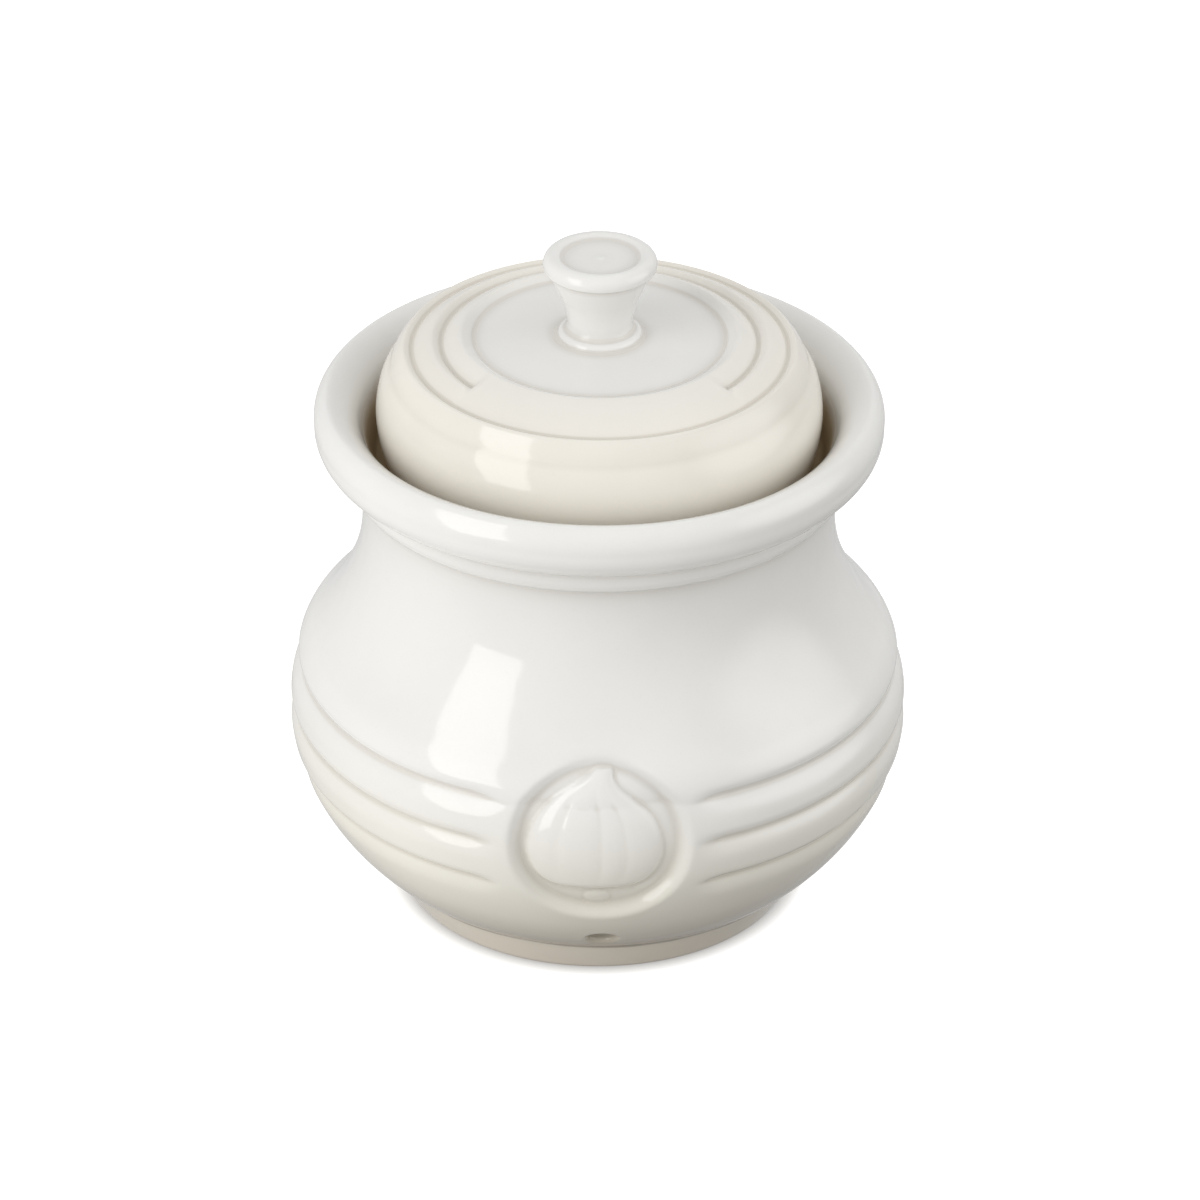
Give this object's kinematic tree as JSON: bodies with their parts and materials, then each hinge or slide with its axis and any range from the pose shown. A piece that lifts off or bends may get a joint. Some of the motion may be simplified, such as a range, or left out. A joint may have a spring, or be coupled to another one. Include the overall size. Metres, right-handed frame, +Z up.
{
  "type": "garlic keeper",
  "caption": "Round-bellied stoneware jar with a rolled rim, a garlic roundel and air vents, and a lift-off domed lid with a knob, for keeping garlic bulbs.",
  "frame": {"origin": "on the jar's axis, in the plane that the foot stands on", "axes": "+Z up along the jar's axis, -Y towards the front with the garlic roundel, +X to the right seen from the front"},
  "size_m": [0.1212, 0.1212, 0.137],
  "materials": {
    "jar_glaze": "glossy off-white glaze, warmer towards the foot",
    "lid_glaze": "glossy off-white glaze, cream on the ringed band and shoulder"
  },
  "bodies": {
    "jar": {"jar": "jar_glaze"},
    "lid": {"lid": "lid_glaze"}
  },
  "joints": [
    {"name": "lid_lift", "type": "slide", "parent": "jar", "child": "lid", "axis": [0, 0, 1], "range_m": [0, 0.12]}
  ]
}
